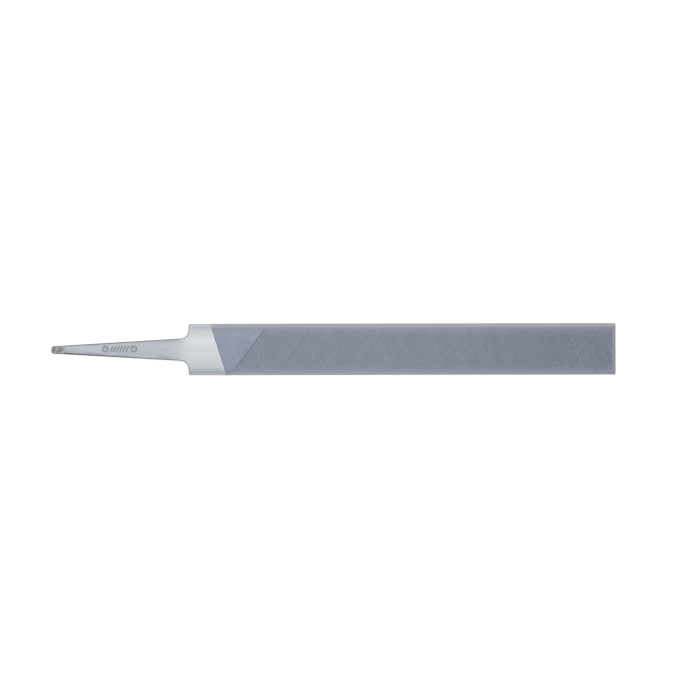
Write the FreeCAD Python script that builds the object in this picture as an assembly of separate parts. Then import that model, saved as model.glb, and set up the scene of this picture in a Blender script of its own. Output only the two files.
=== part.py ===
"""Flat hand file for metalwork, 100 mm long from shoulder to point, with a bare tang and no handle.

A file is one piece of carbon steel. It is modelled here as the named zones of that piece, one solid
each. The zones meet face to face with no gap and no overlap, so together they fill the file exactly:

    tang_stub       blunt end of the tang and its narrow neck, left as forged
    tang            tapered spike that a handle is driven onto
    heel            shoulder block, flared out of the tang and left uncut
    blade_core      hardened body between the two cut faces
    upper_cut_face  toothed layer of the +Z face, up to the plane through the tooth crests
    lower_cut_face  the same layer of the -Z face
    cut_edge        narrow -Y edge with the single row of teeth, and its two corner bevels
    safe_edge       narrow +Y edge, smooth, with its two corner bevels
    point_land      uncut, bevelled end of the blade

Units are millimetres. X runs along the file, and +X is towards the point. +Z is the normal of the
upper face. The origin lies on the file's axis, halfway through its thickness, where the blade's
square shoulders meet the root of the tang.
"""

import FreeCAD
import Part
import math
import os

from FreeCAD import Vector

# Blade
BLADE_LENGTH = 100.0  # shoulder to point, the file's nominal length
BLADE_WIDTH = 12.1  # parallel from shoulder to point
BLADE_THICKNESS = 2.8  # at the heel and over the parallel stretch
POINT_THICKNESS = 2.1  # at the point, after the taper
TAPER_START = 55.0  # where both faces begin to curve in towards the point

# Corner bevels along the blade, as widths seen from above, and how far each drops at the edge
SAFE_BEVEL_WIDTH = 1.0
CUT_BEVEL_WIDTH = 0.8
BEVEL_DROP = 0.35

# Cut layers
LAYER_DEPTH = 0.25  # from the tooth crests down to below the gullets
CUT_START = 5.24  # nearest place to the shoulder that a chisel line reaches
CUT_ANGLE = math.radians(17.6)  # of the first chisel line from square across the blade
EDGE_CUT_START = 9.5  # where the teeth of the narrow edge begin

# Point
LAND_LENGTH = 0.9
LAND_DROP = 0.28  # how far the land's bevel falls at the end face
POINT_CORNER_RADIUS = 0.2

# Tang
TANG_LENGTH = 32.3  # shoulder to the end of the stub
TANG_ROOT_WIDTH = 5.25  # where the shoulder's flare begins
TANG_END_WIDTH = 2.06  # where the neck begins
TANG_END_THICKNESS = 1.5
FLARE_RADIUS = 1.9  # hollow corner between tang and shoulder
EDGE_RADIUS = 0.3  # along the four edges of the tang and the stub

# Neck and stub at the end of the tang
NECK_LENGTH = 0.8
STUB_LENGTH = 2.2
STUB_WIDTH = 1.92
STUB_THICKNESS = 1.4
STUB_CORNER_RADIUS = 0.65

# Derived places
HALF_WIDTH = BLADE_WIDTH / 2
HALF_THICKNESS = BLADE_THICKNESS / 2
SAFE_SIDE = HALF_WIDTH - SAFE_BEVEL_WIDTH  # +Y limit of the flat faces
CUT_SIDE = -HALF_WIDTH + CUT_BEVEL_WIDTH  # -Y limit of the flat faces
FACE_WIDTH = SAFE_SIDE - CUT_SIDE
FIRST_LINE_END = CUT_START + FACE_WIDTH * math.tan(CUT_ANGLE)  # furthest reach of the first chisel line
LAND_START = BLADE_LENGTH - LAND_LENGTH
TANG_ROOT = -FLARE_RADIUS  # where tang and heel meet
NECK_END = -TANG_LENGTH + STUB_LENGTH
NECK_START = NECK_END + NECK_LENGTH  # where tang and stub meet
TAPER_FALL = (BLADE_THICKNESS - POINT_THICKNESS) / 2
TAPER_RUN = BLADE_LENGTH - TAPER_START
TAPER_RADIUS = (TAPER_RUN**2 + TAPER_FALL**2) / (2 * TAPER_FALL)  # arc tangent to the parallel faces

OUT_FOLDER = "parts"
REACH = 20.0  # further than the file reaches in Y or Z, for cutting prisms
DIAGONAL = math.sqrt(0.5)  # sine and cosine of the middle of a quarter circle
TOUCHING = 1e-6  # places nearer to each other than this are the same


def half_thickness(x, inset=0.0):
    """Distance from the mid-plane to the crests at x, less an inset measured square to the face."""
    if x <= TAPER_START:
        return HALF_THICKNESS - inset
    radius = TAPER_RADIUS - inset
    drop = TAPER_RADIUS - math.sqrt(radius**2 - (x - TAPER_START) ** 2)
    return HALF_THICKNESS - drop


def face_edges(x0, x1, side, y, inset):
    """Edges of one face's outline between x0 and x1: a line, then the taper's arc where x1 reaches it."""

    def at(x):
        return Vector(x, y, side * half_thickness(x, inset))

    edges = []
    if x0 < TAPER_START:
        edges.append(Part.LineSegment(at(x0), at(min(x1, TAPER_START))).toShape())
    if x1 > TAPER_START:
        start = max(x0, TAPER_START)
        edges.append(Part.Arc(at(start), at((start + x1) / 2), at(x1)).toShape())
    return edges


def side_profile(x0, x1, y, inset=0.0):
    """The blade's side view between x0 and x1, as a face in the plane at y."""
    edges = []
    for side in (1, -1):
        edges += face_edges(x0, x1, side, y, inset)
    for x in (x0, x1):
        reach = Vector(0, 0, half_thickness(x, inset))
        middle = Vector(x, y, 0)
        edges.append(Part.LineSegment(middle - reach, middle + reach).toShape())
    return Part.Face(Part.Wire(Part.__sortEdges__(edges)))


def band(x0, x1, inset=0.0):
    """The blade between its two bevels, from x0 to x1."""
    return side_profile(x0, x1, CUT_SIDE, inset).extrude(Vector(0, FACE_WIDTH, 0))


def edge_strip(x0, x1, y, bevel_width):
    """The blade outside the line y, with a bevel on both corners.

    The side view is carried outwards twice, once slanting down and once slanting up. What the two
    have in common is bevelled above and below, and each bevel follows the taper of its face.
    """
    profile = side_profile(x0, x1, y)
    outwards = math.copysign(bevel_width, y)
    falling = profile.extrude(Vector(0, outwards, -BEVEL_DROP))
    rising = profile.extrude(Vector(0, outwards, BEVEL_DROP))
    return falling.common(rising)


def whole_blade(x0, x1):
    """The blade's full section from x0 to x1, bevels included."""
    strips = [
        edge_strip(x0, x1, SAFE_SIDE, SAFE_BEVEL_WIDTH),
        edge_strip(x0, x1, CUT_SIDE, CUT_BEVEL_WIDTH),
    ]
    return band(x0, x1).multiFuse(strips).removeSplitter()


def prism(points, z0, z1):
    """A straight-sided solid over a polygon of (x, y) points, from z0 to z1."""
    corners = [Vector(x, y, z0) for x, y in points]
    outline = Part.makePolygon(corners + corners[:1])
    return Part.Face(outline).extrude(Vector(0, 0, z1 - z0))


def cut_layer(side):
    """Toothed layer of one face: side 1 is the upper face and -1 the lower.

    It starts at the first chisel line. Seen face on, with the tang to the left, that line leans the
    same way on both faces, so on the lower face it is mirrored in Y.
    """
    near, far = (SAFE_SIDE, CUT_SIDE) if side > 0 else (CUT_SIDE, SAFE_SIDE)
    outline = [(CUT_START, near), (LAND_START, near), (LAND_START, far), (FIRST_LINE_END, far)]
    z0, z1 = sorted((0.0, side * REACH))
    skin = band(CUT_START, LAND_START).cut(band(CUT_START, LAND_START, LAYER_DEPTH))
    return skin.common(prism(outline, z0, z1))


def heel_outline():
    """Plan view of the heel: it flares out of the tang and squares off at the shoulders."""
    root = TANG_ROOT_WIDTH / 2
    shoulder = root + FLARE_RADIUS
    to_middle = FLARE_RADIUS * DIAGONAL
    edges = []
    for side in (1, -1):
        on_tang = Vector(TANG_ROOT, side * root, 0)
        on_arc = Vector(TANG_ROOT + to_middle, side * (shoulder - to_middle), 0)
        on_shoulder = Vector(0, side * shoulder, 0)
        corner = Vector(0, side * HALF_WIDTH, 0)
        end = Vector(EDGE_CUT_START, side * HALF_WIDTH, 0)
        edges.append(Part.Arc(on_tang, on_arc, on_shoulder).toShape())
        edges.append(Part.LineSegment(on_shoulder, corner).toShape())
        edges.append(Part.LineSegment(corner, end).toShape())
    for x, y in ((TANG_ROOT, root), (EDGE_CUT_START, HALF_WIDTH)):
        edges.append(Part.LineSegment(Vector(x, -y, 0), Vector(x, y, 0)).toShape())
    return Part.Face(Part.Wire(Part.__sortEdges__(edges)))


def make_heel(layers):
    """Uncut shoulder block, with a shallow step under the start of each toothed layer."""
    plan = heel_outline()
    plan.translate(Vector(0, 0, -REACH))
    block = whole_blade(TANG_ROOT, EDGE_CUT_START).common(plan.extrude(Vector(0, 0, 2 * REACH)))
    for layer in layers:
        block = block.cut(layer)
    return block


def make_point_land():
    """Uncut end of the blade, bevelled towards the end face on both sides, with rounded corners."""
    start = half_thickness(LAND_START)
    end = half_thickness(BLADE_LENGTH) - LAND_DROP
    corners = [
        Vector(LAND_START, -HALF_WIDTH, start),
        Vector(BLADE_LENGTH, -HALF_WIDTH, end),
        Vector(BLADE_LENGTH, -HALF_WIDTH, -end),
        Vector(LAND_START, -HALF_WIDTH, -start),
    ]
    wedge = Part.Face(Part.makePolygon(corners + corners[:1])).extrude(Vector(0, BLADE_WIDTH, 0))
    land = whole_blade(LAND_START, BLADE_LENGTH).common(wedge)

    def at_corner(vertex):
        off_end = abs(vertex.Point.x - BLADE_LENGTH)
        off_side = abs(abs(vertex.Point.y) - HALF_WIDTH)
        return max(off_end, off_side) < TOUCHING

    upright = [edge for edge in land.Edges if all(map(at_corner, edge.Vertexes))]
    return land.makeFillet(POINT_CORNER_RADIUS, upright)


def rounded_section(x, width, thickness):
    """A rectangle with rounded corners, square to the file at x."""
    edges = []
    y = width / 2 - EDGE_RADIUS
    z = thickness / 2 - EDGE_RADIUS
    to_middle = EDGE_RADIUS * DIAGONAL
    for side in (1, -1):
        level = side * thickness / 2
        flank = side * width / 2
        edges.append(Part.LineSegment(Vector(x, -y, level), Vector(x, y, level)).toShape())
        edges.append(Part.LineSegment(Vector(x, flank, -z), Vector(x, flank, z)).toShape())
        for turn in (1, -1):
            start = Vector(x, flank, turn * z)
            middle = Vector(x, side * (y + to_middle), turn * (z + to_middle))
            end = Vector(x, side * y, turn * thickness / 2)
            edges.append(Part.Arc(start, middle, end).toShape())
    return Part.Wire(Part.__sortEdges__(edges))


def tapered_bar(stations):
    """A bar with rounded edges through stations of (x, width, thickness), ruled between them."""
    return Part.makeLoft([rounded_section(*station) for station in stations], True, True)


def make_tang():
    """Tapered spike with softened edges."""
    return tapered_bar(
        [
            (TANG_ROOT, TANG_ROOT_WIDTH, BLADE_THICKNESS),
            (NECK_START, TANG_END_WIDTH, TANG_END_THICKNESS),
        ]
    )


def make_tang_stub():
    """Neck and blunt end of the tang. The end's two corners are rounded in plan."""
    bar = tapered_bar(
        [
            (NECK_START, TANG_END_WIDTH, TANG_END_THICKNESS),
            (NECK_END, STUB_WIDTH, STUB_THICKNESS),
            (-TANG_LENGTH, STUB_WIDTH, STUB_THICKNESS),
        ]
    )
    start = -TANG_LENGTH + STUB_CORNER_RADIUS
    side = STUB_WIDTH / 2
    inner = side - STUB_CORNER_RADIUS
    to_middle = STUB_CORNER_RADIUS * DIAGONAL
    edges = []
    for turn in (1, -1):
        on_side = Vector(start, turn * side, 0)
        on_arc = Vector(start - to_middle, turn * (inner + to_middle), 0)
        on_end = Vector(-TANG_LENGTH, turn * inner, 0)
        beyond = Vector(NECK_START, turn * BLADE_WIDTH, 0)
        wide = Vector(start, turn * BLADE_WIDTH, 0)
        edges.append(Part.Arc(on_end, on_arc, on_side).toShape())
        edges.append(Part.LineSegment(on_side, wide).toShape())
        edges.append(Part.LineSegment(wide, beyond).toShape())
    for x, y in ((-TANG_LENGTH, inner), (NECK_START, BLADE_WIDTH)):
        edges.append(Part.LineSegment(Vector(x, -y, 0), Vector(x, y, 0)).toShape())
    plan = Part.Face(Part.Wire(Part.__sortEdges__(edges)))
    plan.translate(Vector(0, 0, -REACH))
    return bar.common(plan.extrude(Vector(0, 0, 2 * REACH)))


def make_zones():
    """Every zone of the file, by node name."""
    upper = cut_layer(1)
    lower = cut_layer(-1)
    return {
        "tang_stub": make_tang_stub(),
        "tang": make_tang(),
        "heel": make_heel([upper, lower]),
        "blade_core": band(EDGE_CUT_START, LAND_START, LAYER_DEPTH),
        "upper_cut_face": upper,
        "lower_cut_face": lower,
        "cut_edge": edge_strip(EDGE_CUT_START, LAND_START, CUT_SIDE, CUT_BEVEL_WIDTH),
        "safe_edge": edge_strip(EDGE_CUT_START, LAND_START, SAFE_SIDE, SAFE_BEVEL_WIDTH),
        "point_land": make_point_land(),
    }


def main():
    """Writes one STEP file per zone, and prints each zone's volume and size."""
    os.makedirs(OUT_FOLDER, exist_ok=True)
    total = 0.0
    for name, shape in make_zones().items():
        solids = shape.Solids
        if len(solids) != 1 or not solids[0].isValid():
            raise ValueError(f"{name} is {len(solids)} solids, or isn't valid")
        solid = solids[0]
        solid.exportStep(os.path.join(OUT_FOLDER, name + ".step"))
        total += solid.Volume
        box = solid.BoundBox
        size = f"{box.XLength:.2f} x {box.YLength:.2f} x {box.ZLength:.2f} mm"
        print(f"{name}: {solid.Volume:.2f} mm3, {size}, {len(solid.Faces)} faces")
    print(f"whole file: {total:.1f} mm3, FreeCAD {FreeCAD.Version()[0]}.{FreeCAD.Version()[1]}")


if __name__ == "__main__":
    main()
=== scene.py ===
"""Looks of a 100 mm flat hand file with a bare tang, built round its packed zones.

The file is one piece of steel. Every visible zone of it gets a surface of its own here: the chisel-cut
teeth of both wide faces and of one narrow edge, the ground skin of the heel, the smooth edge and the
point, the tapered tang and its forged stub. Lengths are millimetres until a mesh is written in metres.
X runs along the file towards the point, +Y is the smooth edge's side and +Z is the upper face.
"""

import logging
import math
from dataclasses import dataclass, field
from enum import Enum
from typing import Callable

import bmesh
import bpy
import numpy as np
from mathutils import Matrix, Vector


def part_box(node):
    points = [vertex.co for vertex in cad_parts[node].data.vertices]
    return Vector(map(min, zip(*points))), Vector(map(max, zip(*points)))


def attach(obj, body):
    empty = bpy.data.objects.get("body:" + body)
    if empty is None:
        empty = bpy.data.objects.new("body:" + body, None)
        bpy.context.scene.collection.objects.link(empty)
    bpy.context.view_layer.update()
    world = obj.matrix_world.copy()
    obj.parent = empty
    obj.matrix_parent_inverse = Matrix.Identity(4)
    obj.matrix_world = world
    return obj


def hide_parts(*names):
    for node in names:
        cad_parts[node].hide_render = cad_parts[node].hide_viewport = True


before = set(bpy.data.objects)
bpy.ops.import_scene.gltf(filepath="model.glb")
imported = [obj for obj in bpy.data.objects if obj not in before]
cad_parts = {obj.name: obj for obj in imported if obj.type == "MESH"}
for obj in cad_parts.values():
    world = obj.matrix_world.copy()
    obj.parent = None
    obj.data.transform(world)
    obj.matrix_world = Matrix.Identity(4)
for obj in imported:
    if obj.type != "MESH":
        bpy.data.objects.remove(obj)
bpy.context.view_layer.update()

BODY = "root"
METRE = 0.001  # one millimetre, in metres
QUARTER = math.pi / 2  # a quarter turn
WELD = 1e-4  # points closer than this, in millimetres, are one point
IN_PLANE = 1e-9  # points closer than this to a cutting plane, in metres, lie in it

log = logging.getLogger("hand_file")


class Face(Enum):
    """The two wide faces. The value is the sign of the outward normal's Z."""

    UPPER = 1
    LOWER = -1


class Slot(Enum):
    """Names of the record's material slots."""

    TEETH = "tooth_steel"
    GROUND = "ground_steel"
    TANG = "tang_steel"
    SCALE = "forge_scale"


# ---- Places and curves ----


def climb(value: np.ndarray, start: float, end: float) -> np.ndarray:
    """0 up to start and 1 from end on, in a straight line between. End may lie below start."""
    return np.clip((value - start) / (end - start), 0.0, 1.0)


def bell(away: np.ndarray, width: float) -> np.ndarray:
    """A bell curve: 1 where away is 0, and 1/e where it is the width."""
    return np.exp(-((away / width) ** 2))


def ripple(x: np.ndarray, y: np.ndarray, wavelength: float, seed: int) -> np.ndarray:
    """Smooth unevenness: a sum of plane waves in random directions, each with a random phase.

    Args:
        x: First coordinate.
        y: Second coordinate.
        wavelength: Mean length of the waves; each differs from it by up to half.
        seed: Seed of the directions, lengths and phases.

    Returns:
        Heights of about -1 to 1, of the coordinates' common shape.
    """
    waves = 9
    draw = np.random.default_rng(seed)
    heading, phase = draw.uniform(0.0, 2 * math.pi, (2, waves))
    number = 2 * math.pi / (wavelength * draw.uniform(0.5, 1.5, waves))
    x, y = np.broadcast_arrays(x, y)
    along = x[..., None] * np.cos(heading) + y[..., None] * np.sin(heading)
    return np.sin(along * number + phase).sum(-1) / math.sqrt(waves * 2.0)


@dataclass(frozen=True)
class Datum:
    """Places on the file in millimetres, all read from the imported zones.

    tip, neck, root, heel_end, land_start and point are stations along X, in that order.
    flat_high and flat_low are the Y limits of the flat faces, between the two bevels.
    """

    tip: float
    neck: float
    root: float
    heel_end: float
    land_start: float
    point: float
    half_width: float
    half_thickness: float
    land_half_thickness: float
    neck_half_thickness: float
    neck_half_width: float
    root_half_width: float
    flat_high: float
    flat_low: float
    layer_depth: float

    @classmethod
    def from_frame(cls) -> "Datum":
        """Reads every place from the boxes of the CAD nodes.

        Returns:
            The file's places.
        """
        nodes = ("tang_stub", "tang", "heel", "blade_core", "safe_edge", "point_land")
        stub, tang, heel, core, edge, land = (
            np.array([tuple(corner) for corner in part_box(node)]) / METRE for node in nodes
        )
        return cls(
            tip=stub[0, 0],
            neck=stub[1, 0],
            root=tang[1, 0],
            heel_end=heel[1, 0],
            land_start=land[0, 0],
            point=land[1, 0],
            half_width=heel[1, 1],
            half_thickness=heel[1, 2],
            land_half_thickness=land[1, 2],
            neck_half_thickness=stub[1, 2],
            neck_half_width=stub[1, 1],
            root_half_width=tang[1, 1],
            flat_high=edge[0, 1],
            flat_low=core[0, 1],
            layer_depth=heel[1, 2] - core[1, 2],
        )


@dataclass(frozen=True)
class BladeForm:
    """The blade's surface: half its thickness at any place seen from above.

    The crests of the teeth lie in the CAD faces. The ground skin lies a little lower, rolls off towards
    both long edges, is bevelled beside them, and is bevelled again over the last stretch at the point.
    """

    datum: Datum
    taper_start: float = 55.0  # X where the blade begins to thin
    skin_depth: float = 0.02  # the skin below the crests
    roll: float = 0.10  # how far the skin has fallen where a bevel begins
    roll_width_high: float = 2.4  # width of the fall on the +Y side
    roll_width_low: float = 1.7  # width of the fall on the -Y side
    bevel_drop: float = 0.33  # how far the skin has fallen at the foot of a bevel
    land_drop: float = 0.26  # how far it has fallen at the point
    cut_depth: float = 0.17  # fall of the skin past which the chisel no longer reaches it
    rim: float = 0.14  # radius between a bevel and the narrow edge

    def crest(self, x: np.ndarray) -> np.ndarray:
        """Half the thickness through the crests: level, then an arc tangent to the level stretch.

        Args:
            x: Stations along the file.

        Returns:
            Half thicknesses, of x's shape.
        """
        run = self.datum.land_start - self.taper_start
        fall = self.datum.half_thickness - self.datum.land_half_thickness
        radius = (run**2 + fall**2) / (2 * fall)
        past = np.clip(x - self.taper_start, 0.0, None)
        return self.datum.half_thickness - radius + np.sqrt(radius**2 - past**2)

    def roll_off(self, x: np.ndarray, y: np.ndarray) -> np.ndarray:
        """How far the skin falls away towards the long edges and the point.

        Each side falls with the square of the distance into its roll, then in a straight bevel. The land
        at the point falls in a straight line, and the deeper of the two falls counts.

        Args:
            x: Stations along the file.
            y: Places across it.

        Returns:
            The fall below the middle of the face, never negative.
        """
        fall = 0.0
        sides = (
            (y, self.datum.flat_high, self.roll_width_high),
            (-y, -self.datum.flat_low, self.roll_width_low),
        )
        for out, flat, width in sides:
            fall = fall + self.roll * climb(out, flat - width, flat) ** 2
            fall = fall + (self.bevel_drop - self.roll) * climb(out, flat, self.datum.half_width)
        return np.maximum(fall, self.land_drop * climb(x, self.datum.land_start, self.datum.point))

    def skin(self, x: np.ndarray, y: np.ndarray) -> np.ndarray:
        """Half the thickness of the uncut, ground surface."""
        return self.crest(x) - self.skin_depth - self.roll_off(x, y)

    def bite(self, x: np.ndarray, y: np.ndarray) -> np.ndarray:
        """Share of its full depth that the chisel reaches: none where the skin has fallen that far."""
        return climb(self.roll_off(x, y), self.cut_depth, 0.0)

    def floor(self, x: np.ndarray) -> np.ndarray:
        """Half the thickness at the bottom of the toothed layer, which is the top of the core."""
        return self.crest(x) - self.datum.layer_depth

    def foot(self, flat: float) -> float:
        """Y where the last trace of a tooth runs out, past the edge of the flat face at Y = flat."""
        slope = (self.bevel_drop - self.roll) / (self.datum.half_width - abs(flat))
        return flat + math.copysign((self.cut_depth - self.roll) / slope, flat)

    @property
    def foot_high(self) -> float:
        """Y where the teeth run out on the smooth edge's side."""
        return self.foot(self.datum.flat_high)

    @property
    def foot_low(self) -> float:
        """Y where the teeth run out on the cut edge's side."""
        return self.foot(self.datum.flat_low)

    @property
    def foot_end(self) -> float:
        """X where the teeth run out on the land at the point."""
        run = self.datum.point - self.datum.land_start
        return self.datum.land_start + run * self.cut_depth / self.land_drop


# ---- Meshes ----


@dataclass
class Surface:
    """Points and faces of one piece, with any number of named values per point."""

    points: np.ndarray
    faces: np.ndarray
    values: dict[str, np.ndarray] = field(default_factory=dict)

    def to_mesh(self, name: str) -> bpy.types.Mesh:
        """Writes the surface into a new mesh, in metres.

        Args:
            name: The mesh's name.

        Returns:
            The mesh, with one float attribute per named value.
        """
        mesh = bpy.data.meshes.new(name)
        mesh.from_pydata((self.points * METRE).tolist(), [], self.faces.tolist())
        for label, value in self.values.items():
            layer = mesh.attributes.new(label, "FLOAT", "POINT")
            layer.data.foreach_set("value", np.asarray(value, np.float32).ravel())
        return mesh

    def to_solid(self, name: str, smooth_below: float | None) -> bpy.types.Mesh:
        """Writes the surface into a mesh, joins doubled points and closes the open ends.

        Args:
            name: The mesh's name.
            smooth_below: Degrees between faces under which an edge is shaded smooth; None leaves it flat.

        Returns:
            The closed mesh, with every face outwards.
        """
        mesh = self.to_mesh(name)
        body = bmesh.new()
        body.from_mesh(mesh)
        bmesh.ops.remove_doubles(body, verts=body.verts, dist=WELD * METRE)
        bmesh.ops.holes_fill(body, edges=body.edges, sides=0)
        bmesh.ops.recalc_face_normals(body, faces=body.faces)
        body.to_mesh(mesh)
        body.free()
        if smooth_below is None:
            mesh.shade_flat()
        else:
            mesh.shade_smooth()
            mesh.set_sharp_from_angle(angle=math.radians(smooth_below))
        return mesh


def grid_faces(rows: int, columns: int, closed: bool) -> np.ndarray:
    """Quads between neighbouring rows of a grid whose points are numbered row by row.

    Args:
        rows: Rows of points.
        columns: Points in a row.
        closed: True joins each row's last point to its first.

    Returns:
        Faces as rows of four indices.
    """
    corner = np.arange(rows * columns).reshape(rows, columns)
    ring = np.concatenate([corner, corner[:, :1]], 1) if closed else corner
    quads = (ring[:-1, :-1], ring[1:, :-1], ring[1:, 1:], ring[:-1, 1:])
    return np.stack(quads, -1).reshape(-1, 4)


def loop_surface(loops: np.ndarray, **values: np.ndarray) -> Surface:
    """A tube through loops x points x 3, open at both ends, with named values of loops x points."""
    faces = grid_faces(loops.shape[0], loops.shape[1], closed=True)
    return Surface(loops.reshape(-1, 3), faces, {name: value.ravel() for name, value in values.items()})


def stand_for(mesh: bpy.types.Mesh, finish: bpy.types.Material, node: str) -> None:
    """Makes a piece of a finished mesh, dresses it, and lets it stand for a zone of the file.

    Args:
        mesh: The piece's mesh, already in place. The piece takes its name.
        finish: The piece's material.
        node: The CAD node that the piece replaces.
    """
    piece = bpy.data.objects.new(mesh.name, mesh)
    bpy.context.scene.collection.objects.link(piece)
    mesh.materials.append(finish)
    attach(piece, BODY)
    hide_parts(node)
    log.info("%s: %d faces, for %s", piece.name, len(mesh.polygons), node)


# ---- Plan outlines and slabs ----


class Track:
    """One side of a plan outline, walked towards the point with the steel on the right-hand side.

    It keeps a point and an inward normal for every station, and a heading for the next stretch.
    """

    def __init__(self, x: float, y: float, heading: float) -> None:
        """Starts at (x, y), walking along heading, in radians from +X towards +Y."""
        self.heading = heading
        self.points = np.array([[x, y]])
        self.inward = self._normal(np.array([heading]))

    @staticmethod
    def _normal(heading: np.ndarray) -> np.ndarray:
        """The direction a quarter turn clockwise of each heading."""
        return np.stack([np.sin(heading), -np.cos(heading)], -1)

    def _add(self, points: np.ndarray, headings: np.ndarray) -> None:
        """Appends stations with their inward normals."""
        self.points = np.concatenate([self.points, points])
        self.inward = np.concatenate([self.inward, self._normal(headings)])
        self.heading = float(headings[-1])

    def to(self, x: float, y: float, stretches: int = 1) -> None:
        """Walks in a straight line to (x, y), with a station after each of the equal stretches."""
        step = np.array([x, y]) - self.points[-1]
        share = np.arange(1, stretches + 1)[:, None] / stretches
        self._add(self.points[-1] + share * step, np.full(stretches, math.atan2(step[1], step[0])))

    def bend(self, radius: float, degrees: float, stretches: int) -> None:
        """Walks along an arc that is tangent to the heading.

        Args:
            radius: The arc's radius.
            degrees: The turn, positive to the left.
            stretches: Stations after the start.
        """
        side = math.copysign(radius, degrees)
        centre = self.points[-1] - side * self._normal(np.array([self.heading]))[0]
        headings = self.heading + np.arange(1, stretches + 1) / stretches * math.radians(degrees)
        self._add(centre + side * self._normal(headings), headings)


Height = Callable[[np.ndarray, np.ndarray, Face], np.ndarray]


@dataclass
class Slab:
    """A closed body between an upper and a lower skin, with rounded rims along its plan outline.

    Every station gives one loop round the body. A loop crosses the upper skin from the +Y rim to the -Y
    rim, drops down the side and comes back across the lower skin. A rim point at angle a stands r sin a
    outside the skin's edge and r(1 - cos a) below it, with a from 90 degrees on the side towards 0.
    """

    high: Track  # outline stations on the +Y side, for the upper skin
    low: Track  # the same for the -Y side, given as its mirror image at +Y
    middle: np.ndarray  # X where each row crosses the axis
    rims: np.ndarray  # rim radius at each station
    height: Height  # half thickness at any place of either face
    shares: np.ndarray  # where the columns stand on a row, from 1 at +Y to -1 at -Y
    rim_steps: int = 5  # points on a rim

    @classmethod
    def even(cls, track: Track, rim: float, height: Height, shares: np.ndarray) -> "Slab":
        """A slab with both sides alike, straight rows and one rim radius."""
        middle = track.points[:, 0] + rim * track.inward[:, 0]
        return cls(track, track, middle, np.full(len(middle), rim), height, shares)

    @property
    def angles(self) -> np.ndarray:
        """Angles round a rim, from the side to the last one before the skin."""
        return np.linspace(QUARTER, 0.0, self.rim_steps + 1)[:-1]

    def half_loops(self, face: Face, stations: np.ndarray, closing: np.ndarray) -> np.ndarray:
        """The part of every loop that lies on one face.

        A row's Y is a straight line between its two inner rim points. Its X is the parabola through them
        and the row's middle. A loop that closes the body lies further out along X, and lower, by the
        same sine and cosine as a rim.

        Args:
            face: Which face. On the lower one the two sides' stations change places.
            stations: The station of each loop.
            closing: Angle by which each loop is rolled over towards the end face; 0 for an open one.

        Returns:
            Points as loops x columns x 3, from the +Y side to the -Y side.
        """
        mirror = np.array([1.0, -1.0])
        plus, minus = (self.high, self.low) if face is Face.UPPER else (self.low, self.high)
        rims, middle = self.rims[stations, None], self.middle[stations, None]
        normals = (plus.inward[stations], minus.inward[stations] * mirror)
        inner_plus = plus.points[stations] + rims * normals[0]
        inner_minus = minus.points[stations] * mirror + rims * normals[1]
        mean, lean = (inner_plus + inner_minus) / 2, (inner_plus - inner_minus) / 2
        x = middle + lean[:, :1] * self.shares + (mean[:, :1] - middle) * self.shares**2
        y = mean[:, 1:] + lean[:, 1:] * self.shares
        row = np.stack([x, y, self.height(x, y, face)], -1)
        row[..., 0] -= normals[0][:, :1] * rims * np.sin(closing)[:, None]
        row[..., 2] -= rims * (1 - np.cos(closing))[:, None]
        angle = np.maximum(self.angles, closing[:, None])[..., None]
        sides = []
        for inner, normal in ((inner_plus, normals[0]), (inner_minus, normals[1])):
            level = self.height(inner[:, :1], inner[:, 1:], face)[..., None]
            flat = inner[:, None] - normal[:, None] * rims[..., None] * np.sin(angle)
            sides.append(np.concatenate([flat, level - rims[..., None] * (1 - np.cos(angle))], -1))
        loops = np.concatenate([sides[0], row, sides[1][:, ::-1]], 1)
        loops[..., 2] *= face.value
        return loops

    def loops(self, closed_start: bool = False) -> np.ndarray:
        """Every loop round the body, in order.

        Args:
            closed_start: True rolls the first station over to a flat end face.

        Returns:
            Points as loops x points x 3.
        """
        over = self.angles if closed_start else np.zeros(0)
        stations = np.concatenate([np.zeros(len(over), int), np.arange(len(self.rims))])
        closing = np.concatenate([over, np.zeros(len(self.rims))])
        upper, lower = (self.half_loops(face, stations, closing) for face in Face)
        return np.concatenate([upper, lower[:, ::-1]], 1)

    def rim_share(self, loops: np.ndarray) -> np.ndarray:
        """How far each point of the loops lies round the rim: 0 on the skins and 1 on the side."""
        half = np.zeros(loops.shape[1] // 2)
        half[: self.rim_steps] = np.sin(self.angles)
        return np.broadcast_to(np.tile(np.maximum(half, half[::-1]), 2), loops.shape[:2])


def layer_columns(form: BladeForm, inner: float, steps: int) -> tuple[np.ndarray, np.ndarray]:
    """Columns for a blade-wide slab, with a doubled one at each long side of the toothed layer.

    Args:
        form: The blade's surface.
        inner: Half the width between the inner rims.
        steps: Evenly spaced columns.

    Returns:
        The shares from 1 to -1, and booleans that are true between the doubled columns.
    """
    high, low = form.foot_high / inner, form.foot_low / inner
    creases = np.array([form.datum.flat_high, form.datum.flat_low]) / inner
    spread = np.sort(np.concatenate([np.linspace(1.0, -1.0, steps), creases]))[::-1]
    above, below = spread[spread > high], spread[spread < low]
    between = spread[(spread < high) & (spread > low)]
    shares = np.concatenate([above, [high, high], between, [low, low], below])
    order = np.arange(len(shares))
    return shares, (order > len(above)) & (order < len(shares) - 1 - len(below))


def carve(form: BladeForm, loops: np.ndarray, lead: int, columns: np.ndarray, rows: np.ndarray) -> None:
    """Lowers both skins of a slab to the toothed layers' floor, where the layers lie over it.

    Args:
        form: The blade's surface.
        loops: The slab's loops, which are changed.
        lead: Rim points before the first column of a half loop.
        columns: Booleans, true between the layer's two long sides.
        rows: Booleans, true under the layer.
    """
    half = loops.shape[1] // 2
    for begin, sign, across in ((lead, 1, columns), (half + lead, -1, columns[::-1])):
        block = loops[:, begin : begin + len(across)]
        under = rows[:, None] & across
        block[..., 2] = np.where(under, sign * form.floor(block[..., 0]), block[..., 2])


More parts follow.
